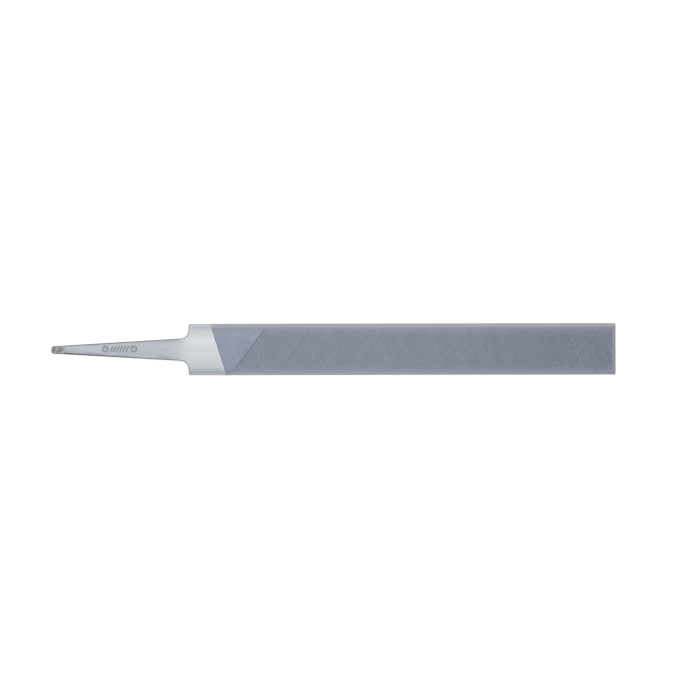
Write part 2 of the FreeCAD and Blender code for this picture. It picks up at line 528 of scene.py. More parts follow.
# ---- Teeth ----


@dataclass(frozen=True)
class Cut:
    """One run of chisel lines across a face.

    A line is a crest, followed towards the point by a steep front that drops to the gullet, and then by
    a long back that climbs to the next crest.
    """

    pitch: float  # distance between lines along the file
    # Tangent of a line's lean from square across. The first run leans towards the tang on the smooth edge's
    # side of the upper face, and the second run the other way
    slant: float
    start: float  # X where the first line crosses the axis
    depth: float = 0.095  # gullet below the skin
    rise: float = 0.02  # crest above the skin
    front: float = 0.25  # share of the pitch that the steep front takes
    belly: float = 0.58  # share of the rise reached half way up the back
    first_deeper: float = 1.4  # how many times as deep the first line is
    uneven: float = 0.08  # spread of the spacing, as a share of the pitch
    uneven_depth: float = 0.06  # spread of the depth, as a share of it
    least_rise: float = 0.4  # share of the rise that the lowest crests have
    seed: int = 1

    def lines(self, reach: float) -> tuple[np.ndarray, np.ndarray]:
        """Where the crests, gullets and half-way lines lie, and how high.

        Args:
            reach: X on the axis that the lines have to pass, however the spacing turns out.

        Returns:
            Stations along the axis and heights above the skin, three for each tooth.
        """
        spare = 1.02
        teeth = math.ceil(spare * (reach - self.start) / self.pitch) + 2
        draw = np.random.default_rng(self.seed)
        gap = self.pitch * draw.normal(1.0, self.uneven, (teeth, 1))
        crest = self.start + np.concatenate([[0.0], np.cumsum(gap)])
        phase = np.array([0.0, self.front, (1 + self.front) / 2])
        station = crest[:-1, None] + gap * phase
        depth = self.depth * draw.normal(1.0, self.uneven_depth, (teeth, 1))
        depth[0] *= self.first_deeper
        rise = self.rise * draw.uniform(self.least_rise, 1.0, (teeth, 1))
        half_way = -depth + (depth + rise) * self.belly
        return station.ravel(), np.concatenate([rise, -depth, half_way], 1).ravel()


@dataclass(frozen=True)
class CutFace:
    """The toothed layer of a wide face: diamond teeth left by two runs of chisel lines that cross.

    The first run starts nearest to the heel. Ahead of the second run's first line only single teeth
    stand. The mesh follows both runs, so every crest and gullet is an edge of it.
    """

    form: BladeForm
    first: Cut  # the run that starts nearest to the heel
    second: Cut  # the run that crosses it
    margin: float = 0.5  # how far the surface stands over the layer before it is trimmed
    roughness: float = 0.003  # spread of the points' heights

    def surface(self, face: Face) -> Surface:
        """The tooth surface, a little wider and longer than the layer.

        A line of the first run keeps x + y * slant, and one of the second keeps x - y * slant, so the
        two sums give x and y of every crossing. The height is the skin's, plus the lower of the two
        runs' heights times the bite.

        Args:
            face: Which wide face. The lower one is the upper one turned over about the file's axis.

        Returns:
            The open surface. Its value crest climbs from the gullets to the crests, land from the teeth
            to the uncut skin, and single is 1 ahead of the second run.
        """
        form, turn = self.form, face.value
        high, low = sorted((turn * form.foot_high, turn * form.foot_low), reverse=True)
        end, widest = form.foot_end, max(high, -low) + self.margin
        a, b = self.first.slant, self.second.slant
        down, height_1 = self.first.lines(end + widest * a)
        back, height_2 = self.second.lines(end + widest * b)
        begin = self.first.start - high * (a + b) - self.margin
        lead = np.arange(begin, self.second.start, self.second.pitch / 2)
        back = np.concatenate([lead, back])
        height_2 = np.concatenate([np.ones(len(lead)), height_2])  # a lead line is higher than any crest
        x = (down[:, None] * b + back * a) / (a + b)
        y = (down[:, None] - back) / (a + b)
        inside = (y < high + self.margin) & (y > low - self.margin) & (x < end + self.margin)
        whole = inside[:-1, :-1] & inside[1:, :-1] & inside[1:, 1:] & inside[:-1, 1:]
        used, faces = np.unique(grid_faces(*x.shape, closed=False)[whole.ravel()], return_inverse=True)
        grids = (x, y, np.minimum(height_1[:, None], height_2), back)
        x, y, cut, back = (np.broadcast_to(grid, inside.shape).ravel()[used] for grid in grids)
        bite = form.bite(x, turn * y)
        draw = np.random.default_rng(self.first.seed + self.second.seed)
        z = form.skin(x, turn * y) + bite * (cut + draw.normal(0.0, self.roughness, len(x)))
        points = np.stack([x, turn * y, turn * np.minimum(z, form.crest(x))], -1)
        values = {
            "crest": climb(cut, -self.first.depth, self.first.rise),
            "land": 1.0 - bite,
            "single": back < self.second.start,
        }
        return Surface(points, faces.reshape(-1, 4), values)

    def build(self, name: str, face: Face) -> bpy.types.Mesh:
        """Trims the tooth surface to the layer and closes it with walls and a floor.

        Args:
            name: The mesh's name.
            face: Which wide face.

        Returns:
            The closed mesh, flat shaded.
        """
        form, turn = self.form, face.value
        mesh = self.surface(face).to_mesh(name)
        body = bmesh.new()
        body.from_mesh(mesh)
        trims = (
            ((0, form.foot_high, 0), (0, 1, 0)),
            ((0, form.foot_low, 0), (0, -1, 0)),
            ((form.foot_end, 0, 0), (1, 0, 0)),
        )
        for place, normal in trims:
            everything = body.verts[:] + body.edges[:] + body.faces[:]
            at = tuple(METRE * value for value in place)
            bmesh.ops.bisect_plane(
                body, geom=everything, plane_co=at, plane_no=normal, clear_outer=True, dist=IN_PLANE
            )
        rim = [edge for edge in body.edges if edge.is_boundary]
        walls = bmesh.ops.extrude_edge_only(body, edges=rim)["geom"]
        foot = [item for item in walls if isinstance(item, bmesh.types.BMEdge) and item.is_boundary]
        for vertex in {vertex for edge in foot for vertex in edge.verts}:
            vertex.co.z = turn * METRE * float(form.floor(np.float64(vertex.co.x / METRE)))
        bmesh.ops.triangle_fill(body, edges=foot, use_beauty=False, normal=(0, 0, -1))
        bmesh.ops.recalc_face_normals(body, faces=body.faces)
        body.to_mesh(mesh)
        body.free()
        mesh.shade_flat()
        return mesh


# ---- Narrow edges and point ----


@dataclass(frozen=True)
class BladeEdge:
    """A narrow edge of the blade with its two bevels, carried along the file as one profile.

    Under the toothed layers the profile reaches in to the core, and beside them only to the place where
    the teeth have run out.
    """

    form: BladeForm
    side: int  # 1 for the smooth edge and -1 for the cut one
    core: float  # Y of the core's wall
    cut: Cut | None = None  # lines on the edge, their slant measured against Z; None leaves it smooth
    even_rows: int = 120  # stations along an uncut edge
    flat_steps: int = 6  # points over a bevel
    rim_steps: int = 5  # points round a rim
    side_steps: int = 7  # points down the side
    side_share: float = 0.75  # share of the side's height that they take
    clearance: float = 0.02  # how far the lines stay from either end
    ramp: float = 3.0  # stretch at either end over which the lines gain their slant
    ramp_share: float = 0.25  # share of the ramp over which they gain their depth

    def stations(self) -> tuple[np.ndarray, np.ndarray]:
        """Stations along the edge.

        Returns:
            The stations, and how far each lies under the side: nothing on an uncut edge.
        """
        start, end = self.form.datum.heel_end, self.form.datum.land_start
        if self.cut is None:
            return np.linspace(start, end, self.even_rows), np.zeros(self.even_rows)
        x, height = self.cut.lines(end)
        inside = (x > start + self.clearance) & (x < end - self.clearance)
        x = np.concatenate([[start], x[inside], [end]])
        return x, self.cut.rise - np.concatenate([[0.0], height[inside], [0.0]])

    def surface(self) -> Surface:
        """The closed profile at every station.

        The height over a bevel is the skin's. A rim point at angle a stands r(1 - cos a) inside the side
        and ends r(1 - sin a) lower. A tooth takes away whatever stands further out than its own surface.

        Returns:
            The tube. Its value crest climbs from the gullets to the side, and land is 1 on the bevels.
        """
        form, width = self.form, self.form.datum.half_width
        foot = abs(form.foot(self.core))
        angle = np.linspace(QUARTER, 0.0, self.rim_steps + 1)
        over = np.linspace(foot, width - form.rim, self.flat_steps)
        out = np.concatenate([over, width - form.rim * (1 - np.cos(angle[1:]))])
        drop = np.concatenate([np.zeros(self.flat_steps), form.rim * (1 - np.sin(angle[1:]))])
        x, deep = (value[:, None] for value in self.stations())
        top = form.skin(x, self.side * np.minimum(out, width - form.rim)) - drop
        levels = np.linspace(self.side_share, -self.side_share, self.side_steps)
        z = np.concatenate([top, top[:, -1:] * levels, -top[:, ::-1]], 1)
        y = np.concatenate([out, np.full(self.side_steps, out[-1]), out[::-1]])
        fade = climb(np.minimum(x - x[0], x[-1] - x), 0.0, self.ramp)
        depth, slant = (self.cut.depth, self.cut.slant) if self.cut else (1.0, 0.0)
        taken = np.clip(deep * climb(fade, 0.0, self.ramp_share), 0.0, None)
        outer = np.stack([x + slant * z * fade, np.minimum(y, width - taken), z], -1)
        inner_y = np.array([foot, abs(self.core), abs(self.core), foot])
        inner_z = form.floor(x) * np.array([-1.0, -1.0, 1.0, 1.0])
        inner = np.stack(np.broadcast_arrays(x, inner_y, inner_z), -1)
        loops = np.concatenate([outer, inner], 1)
        loops[..., 1] *= self.side
        values = {"crest": climb(taken, depth, 0.0), "land": y < width - taken}
        for name, value in values.items():
            outside = np.broadcast_to(value, z.shape)
            values[name] = np.concatenate([outside, np.ones(inner.shape[:2])], 1)
        return loop_surface(loops, blasted=np.ones(loops.shape[:2]), **values)

    def build(self, name: str) -> bpy.types.Mesh:
        """The finished mesh. A toothed edge is flat shaded."""
        return self.surface().to_solid(name, None if self.cut else 30.0)


@dataclass(frozen=True)
class PointLand:
    """The uncut end of the blade: a bevelled land with rounded corners and a flat end face."""

    form: BladeForm
    corner: float = 0.2  # radius of a corner seen from above
    rim: float = 0.08  # radius between the skins and the side
    columns: int = 41
    rows_under: int = 3  # stretches of the outline under the toothed layers

    def height(self, x: np.ndarray, y: np.ndarray, face: Face) -> np.ndarray:
        """The blade's skin with X turned round, the same on both faces."""
        return self.form.skin(-x, y)

    def build(self, name: str) -> bpy.types.Mesh:
        """Builds the land as a slab that is walked backwards from its end face.

        Args:
            name: The mesh's name.

        Returns:
            The closed mesh, with the value blasted at 1 everywhere.
        """
        form, datum = self.form, self.form.datum
        track = Track(-datum.point, datum.half_width - self.corner, QUARTER)
        track.bend(self.corner, -90.0, stretches=6)
        track.to(-form.foot_end, datum.half_width, stretches=3)
        track.to(-form.foot_end, datum.half_width)
        track.to(-datum.land_start, datum.half_width, self.rows_under)
        shares, inside = layer_columns(form, datum.half_width - self.rim, self.columns)
        slab = Slab.even(track, self.rim, self.height, shares)
        loops = slab.loops(closed_start=True)
        loops[..., 0] *= -1.0
        rows = np.arange(len(loops)) >= len(loops) - 1 - self.rows_under
        carve(form, loops, slab.rim_steps, inside, rows)
        return loop_surface(loops, blasted=np.ones(loops.shape[:2])).to_solid(name, 30.0)


# ---- Heel, tang and stub ----


@dataclass(frozen=True)
class Heel:
    """The uncut shoulder block, which flares out of the tang and ends under the first chisel line."""

    form: BladeForm
    first: Cut  # the run of chisel lines that starts at the heel
    flare: float = 1.9  # radius of the hollow corners between tang and shoulders
    shoulder_corner: float = 0.27  # radius of a shoulder's corner seen from above
    # Rim radius beside the tang; it changes to the blade's over the first millimetre
    tang_rim: float = 0.26
    lip_reach: float = 0.18  # half width of the lip that the first line throws up
    close_rows: float = 0.7  # stretch ahead of the first line in which the rows lie close
    columns: int = 61
    crown: float = 0.16  # how far the skin would fall by the narrow edges
    crown_middle: float = 1.2  # Y where it stands highest
    crown_fade: float = 4.0  # stretch at the blade's end over which the crown fades out
    # Places across the faces and the level of painted light there, as pairs of Y and level: a painted
    # highlight band at Y 2.2, painted shade just inside both bevels, and lighter bevels
    polish: tuple[tuple[float, float], ...] = (
        (-5.5, 1.0), (-5.15, 0.05), (-4.0, 0.3), (-2.5, 0.5), (1.2, 0.64),
        (2.2, 1.0), (3.2, 0.52), (5.0, 0.1), (5.7, 0.7),
    )

    def tracks(self, tang_slope: float) -> tuple[Track, Track, int]:
        """Outlines on both sides: the short one meets the first line early and the long one late.

        Args:
            tang_slope: Rise of the tang's side for each millimetre along it.

        Returns:
            The short track, the long track, and the number of the station on the first line.
        """
        datum, corner = self.form.datum, self.shoulder_corner
        reach = self.first.slant * (datum.half_width - self.form.rim)
        lean = math.degrees(math.atan(tang_slope))
        made = []
        for line in (self.first.start - reach, self.first.start + reach):
            track = Track(datum.root, datum.root_half_width, math.radians(lean))
            track.bend(self.flare, 90.0 - lean, stretches=16)
            track.to(0.0, datum.half_width - corner, stretches=4)
            track.bend(corner, -90.0, stretches=5)
            track.to(line - self.close_rows, datum.half_width, stretches=12)
            track.to(line, datum.half_width, stretches=8)
            on_line = len(track.points) - 1
            track.to(line, datum.half_width)
            track.to(datum.heel_end, datum.half_width, stretches=3)
            made.append(track)
        return made[0], made[1], on_line

    def lip(self, x: np.ndarray, y: np.ndarray, turn: int | np.ndarray) -> np.ndarray:
        """Height of the first line's lip, as a share: a bell curve of the distance from the line.

        Args:
            x: Stations along the file.
            y: Places across it.
            turn: 1 on the upper face and -1 on the lower one.

        Returns:
            Shares from 0 to 1, none where the chisel doesn't reach.
        """
        away = x + turn * y * self.first.slant - self.first.start
        return bell(away, self.lip_reach) * self.form.bite(x, y)

    def height(self, x: np.ndarray, y: np.ndarray, face: Face) -> np.ndarray:
        """The skin, crowned, and raised in a low lip where the first chisel line threw the metal up.

        The crown falls with the cube of the distance from its middle, out to the bevels. It fades out
        towards the tang and towards the blade's end.

        Args:
            x: Stations along the file.
            y: Places across it.
            face: Which wide face.

        Returns:
            Half thicknesses.
        """
        datum = self.form.datum
        away = np.clip(y, datum.flat_low, datum.flat_high) - self.crown_middle
        away = np.abs(away) / (datum.half_width - np.sign(away) * self.crown_middle)
        fade = climb(x, datum.root, datum.root + self.flare)
        fade = fade * climb(x, datum.heel_end, datum.heel_end - self.crown_fade)
        lip = self.first.rise * self.lip(x, y, face.value)
        return self.form.skin(x, y) - self.crown * away**3 * fade + lip

    def build(self, name: str, tang_slope: float) -> bpy.types.Mesh:
        """Builds the heel as a slab whose rows swing round from square to the first line's slant.

        Args:
            name: The mesh's name.
            tang_slope: Rise of the tang's side for each millimetre along it.

        Returns:
            The closed mesh. Its value for the lip's painted highlight is 1 along the lip, that for the
            painted light across the faces is its level, scale is 1 on the rims beside the tang, and blasted
            is 1 past the first line.
        """
        form = self.form
        short, long, on_line = self.tracks(tang_slope)
        steps = np.linalg.norm(np.diff(long.points, axis=0), axis=1)
        walked = np.concatenate([[0.0], np.cumsum(steps)])
        middle = np.interp(walked, walked[[0, on_line]], [form.datum.root, self.first.start])
        middle[on_line:] = (short.points[on_line:, 0] + long.points[on_line:, 0]) / 2
        along = climb(short.points[:, 0], self.shoulder_corner, self.shoulder_corner + 1.0)
        rims = self.tang_rim + (form.rim - self.tang_rim) * along
        shares, inside = layer_columns(form, form.datum.half_width - form.rim, self.columns)
        slab = Slab(short, long, middle, rims, self.height, shares)
        loops = slab.loops()
        rows = np.arange(len(middle)) > on_line
        carve(form, loops, slab.rim_steps, inside, rows)
        surface = loop_surface(
            loops,
            # painted highlight along the first chisel line's lip
            burnish=self.lip(loops[..., 0], loops[..., 1], np.sign(loops[..., 2])),
            # painted light across the faces: a painted highlight band at Y 2.2 and painted shade just
            # inside the bevels
            polish=np.interp(loops[..., 1], *zip(*self.polish)),
            scale=slab.rim_share(loops) * (1.0 - along[:, None]),
            blasted=np.broadcast_to(rows[:, None], loops.shape[:2]),
        )
        return surface.to_solid(name, 35.0)


@dataclass(frozen=True)
class StampMarks:
    """Plain punch marks on the tang, with no letters: a row of slanted strokes between two dotted rings."""

    rings: tuple[float, float] = (-19.6, -12.9)  # X of the two rings' middles
    middle: float = 0.15  # Y of the row
    size: float = 0.62  # radius of a ring and half the height of a stroke
    # X of the first and last stroke, and how many there are
    strokes: tuple[float, float, int] = (-18.1, -14.4, 6)
    slant: float = 0.45  # lean of a stroke, as the tangent of its angle from square across
    line: float = 0.18  # width of a line, half way down its sloping sides
    depth: float = 0.06  # depth of the punch

    def press(self, x: np.ndarray, y: np.ndarray) -> np.ndarray:
        """Share of the punch's depth at each place: 1 along a line, with sloping sides.

        A ring is the distance from a circle, a dot the distance from its middle, and a stroke the
        distance from a short slanted line. The sides slope over half a line's width.

        Args:
            x: Stations along the file.
            y: Places across it.

        Returns:
            Shares from 0 to 1.
        """
        y = y - self.middle
        marks = []
        for place in self.rings:
            out = np.hypot(x - place, y)
            marks += [np.abs(out - self.size), out]
        for place in np.linspace(*self.strokes):
            past_end = np.clip(np.abs(y) - self.size, 0.0, None)
            marks.append(np.hypot(x - place - self.slant * y, past_end))
        return climb(np.minimum.reduce(marks), 0.75 * self.line, 0.25 * self.line)


@dataclass(frozen=True)
class Tang:
    """The tapered spike that a handle is driven onto, with softened edges and a row of punch marks."""

    form: BladeForm
    marks: StampMarks
    marked: tuple[float, float] = (-20.6, -12.0)  # X between which the rows lie close, for the marks
    columns: int = 65
    rim: float = 0.3  # radius between the faces and the sides
    crown: float = 0.09  # how far the faces fall by their sides
    uneven: float = 0.012  # height of the waves in the faces
    wave: float = 5.0  # length of the waves along the file
    wave_across: float = 2.5  # how many times as close the waves follow each other across it
    ease: float = 6.0  # stretch before the root over which crown and waves fade out
    ground_stretch: float = 3.0  # stretch before the root over which the heel's grinding runs out
    painted_shade_band: float = 0.45  # width of the painted shade along the -Y side
    painted_shade_blur: float = 0.15  # width over which the band fades
    painted_shade_end: float = -12.0  # X where the band has run out
    # X between which the scale on the sides gives way to bands of painted shade inside them
    root_stretch: tuple[float, float] = (-9.0, -5.0)
    root_clean: float = 0.4  # share of the sides' scale that is gone there
    dim: tuple[float, float] = (1.2, 0.6)  # distances from a side between which such a band fades in
    painted_side_shade: float = 0.14  # share of painted shade in the bands
    stub_scale: float = 0.3  # scale in the last millimetre before the stub

    @property
    def slope(self) -> float:
        """Rise of the side for each millimetre along it."""
        datum = self.form.datum
        return (datum.root_half_width - datum.neck_half_width) / (datum.root - datum.neck)

    def half_width(self, x: np.ndarray) -> np.ndarray:
        """Half the width, which grows in a straight line from the neck to the root."""
        return self.form.datum.root_half_width + (x - self.form.datum.root) * self.slope

    def height(self, x: np.ndarray, y: np.ndarray, face: Face) -> np.ndarray:
        """Half the thickness, less a crown across the width, slight waves and the punch marks.

        The thickness grows in a straight line from the neck to the root. The crown falls with the square
        of Y over the half width.

        Args:
            x: Stations along the file.
            y: Places across it.
            face: Which wide face. Only the upper one is marked.

        Returns:
            Half thicknesses.
        """
        datum = self.form.datum
        thin = datum.neck_half_thickness
        thick = datum.half_thickness - self.form.skin_depth
        level = thin + (thick - thin) * (x - datum.neck) / (datum.root - datum.neck)
        wave = ripple(x, self.wave_across * y, self.wave, seed=11 + face.value)
        hollow = self.crown * (y / self.half_width(x)) ** 2 + self.uneven * (1 + wave)
        level = level - climb(x, datum.root, datum.root - self.ease) * hollow
        if face is Face.UPPER:
            level = level - self.marks.depth * self.marks.press(x, y)
        return level

    def scale(self, x: np.ndarray, y: np.ndarray, rim_share: np.ndarray) -> np.ndarray:
        """Scale left on the tang, on the sides and beside the stub, and painted shade along -Y and by the
        sides at the root.

        Args:
            x: Stations along the file.
            y: Places across it.
            rim_share: How far each point lies round the rim.

        Returns:
            Shares from 0 to 1, the most of the four.
        """
        neck, half = self.form.datum.neck, self.half_width(x)
        near_root = climb(x, *self.root_stretch)
        # painted shade: a dark band along the -Y side, which faces away from the lamp
        band = climb(half + y, self.painted_shade_band, self.painted_shade_band - self.painted_shade_blur)
        left = (
            rim_share * (1.0 - self.root_clean * near_root),
            band * np.sqrt(climb(x, self.painted_shade_end, neck)),
            self.stub_scale * climb(x, neck + 1.0, neck),
            # painted shade in bands just inside both sides near the root
            self.painted_side_shade * climb(half - np.abs(y), *self.dim) * near_root,
        )
        return np.maximum.reduce(left)

    def build(self, name: str) -> bpy.types.Mesh:
        """Builds the tang as a slab, with close rows where the marks are.

        Args:
            name: The mesh's name.

        Returns:
            The closed mesh. Its value stamp is 1 in the marks, ground is 1 at the root, and scale is the
            share of scale and of painted shade.
        """
        datum = self.form.datum
        track = Track(datum.neck, datum.neck_half_width, math.atan(self.slope))
        for place, stretches in ((self.marked[0], 24), (self.marked[1], 160), (datum.root, 30)):
            track.to(place, self.half_width(place), stretches)
        slab = Slab.even(track, self.rim, self.height, np.linspace(1.0, -1.0, self.columns))
        loops = slab.loops()
        x, y, z = np.moveaxis(loops, -1, 0)
        surface = loop_surface(
            loops,
            stamp=self.marks.press(x, y) * (z > 0),
            ground=climb(x, datum.root - self.ground_stretch, datum.root),
            scale=self.scale(x, y, slab.rim_share(loops)),
        )
        return surface.to_solid(name, 40.0)


@dataclass(frozen=True)
class Stub:
    """The blunt forged end of the tang, with its narrow neck and two shallow rings pressed into it."""

    form: BladeForm
    tang: Tang
    corner: float = 0.62  # radius of the end's corners seen from above
    rim: float = 0.3  # radius between the faces and the sides
    side: float = 1.0  # half the width before the neck
    tip_side: float = 0.94  # half the width at the end
    end_thickness: float = 0.68  # half the thickness at the end
    neck_thickness: float = 0.70  # half the thickness where the neck begins
    neck_length: float = 0.8
    columns: int = 25
    rings: tuple[float, ...] = (-31.85, -30.5)  # X of the rings
    ring_depth: float = 0.03  # depth of a ring, as a share of the distance from the axis
    ring_width: float = 0.2  # half width of a ring
    ring_soot: float = 0.6  # how much darker a ring is
    pitting: float = 0.016  # depth of the pits, as a share of the distance from the axis
    pits: tuple[float, float] = (0.55, 0.22)  # size of the coarse and of the fine pits
    fine_pits: float = 0.6  # depth of the fine pits, as a share of the coarse ones'
    seam_fade: float = 0.3  # stretch before the tang over which rings and pits fade out

    def height(self, x: np.ndarray, y: np.ndarray, face: Face) -> np.ndarray:
        """Half the thickness: straight stretches along X, less half the tang's crown across the width.

        Args:
            x: Stations along the file.
            y: Places across it.
            face: Which wide face; not used, as both are alike.

        Returns:
            Half thicknesses.
        """
        datum = self.form.datum
        seam = float(self.tang.height(np.float64(datum.neck), np.float64(0.0), Face.LOWER))
        places = (datum.tip, datum.neck - self.neck_length, datum.neck)
        level = np.interp(x, places, (self.end_thickness, self.neck_thickness, seam))
        return level - self.tang.crown * (y / self.side) ** 2 / 2

    def build(self, name: str) -> bpy.types.Mesh:
        """Builds the stub from its flat end to the tang, then presses rings and pits into it.

        Both work as shares of each point's distance from the axis. A ring is a bell curve along X.

        Args:
            name: The mesh's name.

        Returns:
            The closed mesh. Its value for the rings and the painted shade is high in the rings, and on the
            -Y rim as painted shade.
        """
        datum = self.form.datum
        track = Track(datum.tip, self.tip_side - self.corner, QUARTER)
        track.bend(self.corner, -90.0, stretches=10)
        track.to(datum.neck - self.neck_length, self.side, stretches=22)
        track.to(datum.neck, datum.neck_half_width, stretches=14)
        slab = Slab.even(track, self.rim, self.height, np.linspace(1.0, -1.0, self.columns))
        loops = slab.loops(closed_start=True)
        x, y, z = np.moveaxis(loops.copy(), -1, 0)
        ring = sum(bell(x - place, self.ring_width) for place in self.rings)
        coarse, fine = (ripple(x, np.arctan2(z, y), self.pits[i], seed=5 + i) for i in (0, 1))
        pressed = self.ring_depth * ring + self.pitting * (1 + coarse + self.fine_pits * fine)
        loops[..., 1:] *= 1.0 - (climb(x, datum.neck, datum.neck - self.seam_fade) * pressed)[..., None]
        # darker in the rings, and painted shade on the -Y rim, which faces away from the lamp
        soot = np.maximum(self.ring_soot * ring, slab.rim_share(loops) * (y < 0))
        return loop_surface(loops, soot=soot).to_solid(name, 50.0)


# ---- Finishes ----

Colour = tuple[float, float, float]
Span = tuple[float, float]
Socket = bpy.types.NodeSocket
Fed = Socket | float | tuple[float, ...]  # what an input is linked to or set to

WHITE: Colour = (1.0, 1.0, 1.0)
STATION = "station along the file"  # source of a layer that follows X, in millimetres
MIDDLE: Span = (0.35, 0.65)  # stretch of a noise's values with half-way ones at its middle
WIDE: Span = (0.3, 0.7)  # a wider stretch, which holds nearly all of them


@dataclass(frozen=True)
class Noise:
    """Noise over Object coordinates."""

    waves: tuple[float, float, float]  # waves per millimetre along X, Y and Z
    octaves: float = 3.0  # how many octaves it has
    keeps: float = 0.55  # share that each octave keeps of the one before


@dataclass(frozen=True)
class Layer:
    """A colour laid over the ones below it, as its source goes from start to end."""

    source: Noise | str  # a noise, the name of a value that the mesh carries at its points, or STATION
    colour: Colour
    start: float = 0.0  # where the source lets none of it show
    end: float = 1.0  # where the source lets the most show
    most: float = 1.0  # share of the colour there


class Wiring:
    """Adds nodes to a tree and feeds their inputs."""

    def __init__(self, tree: bpy.types.NodeTree) -> None:
        """Takes the tree."""
        self.tree = tree

    def feed(self, target: Socket, value: Fed) -> None:
        """Links a socket to an input, or sets the input to a plain value."""
        if isinstance(value, Socket):
            self.tree.links.new(value, target)
        else:
            target.default_value = (*value, 1.0) if target.type == "RGBA" else value

    def node(self, kind: str, inputs: dict[str | int, Fed]) -> bpy.types.Node:
        """Adds a node of a kind and feeds the inputs that are named."""
        node = self.tree.nodes.new(kind)
        for name, value in inputs.items():
            self.feed(node.inputs[name], value)
        return node


class Bench(Wiring):
    """Builds one material's nodes round a Principled shader. Plain values go to its own sockets."""

    def __init__(self, name: str, **inputs: float) -> None:
        """Makes the material, and sets its shader's inputs, named with low lines for spaces."""
        self.material = bpy.data.materials.new(name)
        self.material.use_nodes = True
        super().__init__(self.material.node_tree)
        self.shader = self.tree.nodes["Principled BSDF"]
        for label, value in inputs.items():
            self.feed(self.shader.inputs[label.replace("_", " ")], value)
        self.place = self.node("ShaderNodeTexCoord", {}).outputs["Object"]
        self.sources: dict[Noise | str, Socket] = {}

    def source(self, what: Noise | str) -> Socket:
        """Gives the socket of a layer's source, and makes each source only once.

        Args:
            what: A noise, the name of a value that the mesh carries, or STATION.

        Returns:
            The socket of its value. That of STATION is in metres.
        """
        if what in self.sources:
            return self.sources[what]
        if isinstance(what, Noise):
            scale = [waves / METRE for waves in what.waves]
            mapping = self.node("ShaderNodeMapping", {"Vector": self.place, "Scale": scale})
            place = mapping.outputs["Vector"]
            texture = {"Vector": place, "Scale": 1.0, "Detail": what.octaves, "Roughness": what.keeps}
            socket = self.node("ShaderNodeTexNoise", texture).outputs["Fac"]
        elif what == STATION:
            socket = self.node("ShaderNodeSeparateXYZ", {"Vector": self.place}).outputs["X"]
        else:
            node = self.node("ShaderNodeAttribute", {})
            node.attribute_name = what
            socket = node.outputs["Fac"]
        self.sources[what] = socket
        return socket

    def remap(self, source: Socket, start: float, end: float, low: float, high: float) -> Socket:
        """Maps start..end of a value to low..high, held at both ends."""
        span = {"From Min": start, "From Max": end, "To Min": low, "To Max": high}
        return self.node("ShaderNodeMapRange", {"Value": source, **span}).outputs["Result"]

    def blend(self, share: Socket, first: Socket | Colour, second: Colour) -> Socket:
        """Mixes two colours: the first where the share is 0, and the second where it is 1."""
        node = self.tree.nodes.new("ShaderNodeMix")
        node.data_type = "RGBA"
        for number, value in ((0, share), (6, first), (7, second)):
            self.feed(node.inputs[number], value)
        return node.outputs[2]

    def lay(self, below: Socket | Colour, layer: Layer) -> Socket:
        """Lays one layer over the colour below it."""
        unit = METRE if layer.source == STATION else 1.0
        source = self.source(layer.source)
        share = self.remap(source, layer.start * unit, layer.end * unit, 0.0, layer.most)
        return self.blend(share, below, layer.colour)

    def finish(self, colour: Socket, roughness: Socket) -> bpy.types.Material:
        """Links colour and roughness to the shader and returns the material."""
        self.feed(self.shader.inputs["Base Color"], colour)
        self.feed(self.shader.inputs["Roughness"], roughness)
        return self.material


@dataclass(frozen=True)
class Finish:
    """A steel's finish: layers of colour over a base, and a relief that the gloss follows."""

    name: str
    base: Colour
    layers: tuple[Layer, ...]  # the layers over it, from the lowest up
    relief: Noise  # noise that is pressed into the surface
    depth: float  # how deep it is pressed, in millimetres
    roughness: Span  # roughness where the relief is low and where it is high
    metal: float = 1.0  # 1 for bare steel, and less where oxide covers it

    def material(self) -> bpy.types.Material:
        """Builds the finish.

        Returns:
            The material.
        """
        bench = Bench(self.name, Metallic=self.metal)
        colour = self.base
        for layer in self.layers:
            colour = bench.lay(colour, layer)
        relief = bench.source(self.relief)
        pressed = {"Strength": 1.0, "Distance": self.depth * METRE, "Height": relief}
        bump = bench.node("ShaderNodeBump", pressed).outputs["Normal"]
        bench.feed(bench.shader.inputs["Normal"], bump)
        return bench.finish(colour, bench.remap(relief, *WIDE, *self.roughness))


SATIN: Colour = (0.46, 0.473, 0.50)  # ground steel where the tang runs into the heel
DULL: Colour = (0.395, 0.435, 0.46)  # ground steel at its darkest: the low end of the heel's painted shade, and its dull patches
# the gullets' colour, dark as painted shade
GULLET: Colour = (0.385, 0.415, 0.49)
HAIR = Noise((0.12, 7.0, 7.0), octaves=4.0)
GRAIN = Noise((14.0, 14.0, 14.0), octaves=2.0)
STREAK = Noise((0.3, 5.0, 5.0), octaves=4.0)
FLAKE = Noise((2.2, 2.2, 2.2), octaves=5.0, keeps=0.65)
BREAK = Noise((6.0, 6.0, 6.0), octaves=4.0)

# Satin with fine hair lines along the file and matt where it was blasted, with painted light across the
# heel's faces and a painted highlight on the chisel's lip.
GROUND_STEEL = Finish(
    name="ground_steel_finish",
    base=DULL,
    layers=(
        # painted light across the heel, from painted shade at the level's low end to a painted highlight at
        # its high end
        Layer("polish", (0.605, 0.61, 0.64)),
        Layer(Noise((0.25, 0.4, 0.4), octaves=2.0), DULL, *MIDDLE, most=0.12),
        Layer(HAIR, DULL, *WIDE, most=0.2),
        Layer(STATION, SATIN, start=0.8, end=-1.9),
        Layer("blasted", (0.36, 0.355, 0.395)),
        Layer("scale", (0.33, 0.31, 0.31)),
        # painted highlight on the first chisel line's lip
        Layer("burnish", (0.68, 0.69, 0.75)),
    ),
    relief=HAIR,
    depth=0.004,
    roughness=(0.34, 0.42),
)

